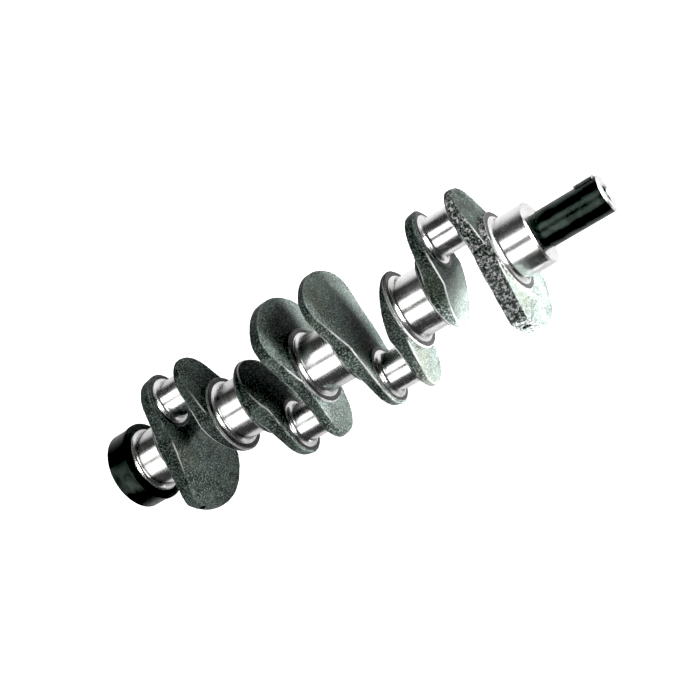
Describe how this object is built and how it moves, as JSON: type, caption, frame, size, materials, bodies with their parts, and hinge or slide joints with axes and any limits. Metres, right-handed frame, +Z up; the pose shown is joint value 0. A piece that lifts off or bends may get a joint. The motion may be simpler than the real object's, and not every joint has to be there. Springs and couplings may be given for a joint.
{
  "type": "engine crankshaft",
  "caption": "Forged flat-plane crankshaft with ground journals, counterweighted webs, flywheel flange with pilot bearing, and keyed nose.",
  "frame": {"origin": "on the crank's axis, at the middle of main journal 3", "axes": "+X along the axis towards the nose, +Y towards crankpins 1 and 4, +Z up with the crank lying on its side"},
  "size_m": [0.5265, 0.139, 0.1062],
  "materials": {
    "forged_web": "oiled as-forged steel, dark olive black",
    "ground_journal": "ground and polished bearing surface",
    "turned_flange": "turned and blackened steel",
    "nose": "ground steel, dark oiled",
    "key_steel": "bright drawn steel",
    "bearing_steel": "polished bearing steel",
    "cage_steel": "pressed steel sheet"
  },
  "bodies": {
    "crankshaft": {"main_journal_1": "ground_journal", "main_journal_2": "ground_journal", "main_journal_3": "ground_journal", "main_journal_4": "ground_journal", "main_journal_5": "ground_journal", "crankpin_1": "ground_journal", "crankpin_2": "ground_journal", "crankpin_3": "ground_journal", "crankpin_4": "ground_journal", "web_1": "forged_web", "web_2": "forged_web", "web_3": "forged_web", "web_4": "forged_web", "web_5": "forged_web", "web_6": "forged_web", "web_7": "forged_web", "web_8": "forged_web", "rear_flange": "turned_flange", "front_nose": "nose", "nose_key": "key_steel", "flywheel_dowel": "key_steel", "pilot_bearing_outer_ring": "bearing_steel", "pilot_bearing_shields": "cage_steel"},
    "pilot_inner_ring": {"pilot_bearing_inner_ring": "bearing_steel"},
    "pilot_ball_set": {"pilot_bearing_cage": "cage_steel", "pilot_bearing_balls": "bearing_steel"}
  },
  "joints": [
    {"name": "pilot_bearing_spin", "type": "hinge", "parent": "crankshaft", "child": "pilot_inner_ring", "pos_m": [-0.236, 0, 0], "axis": [1, 0, 0], "continuous": true},
    {"name": "ball_set_spin", "type": "hinge", "parent": "crankshaft", "child": "pilot_ball_set", "pos_m": [-0.236, 0, 0], "axis": [1, 0, 0], "continuous": true}
  ],
  "couplings": [
    {"joint": "ball_set_spin", "follows": "pilot_bearing_spin", "ratio": 0.382}
  ]
}
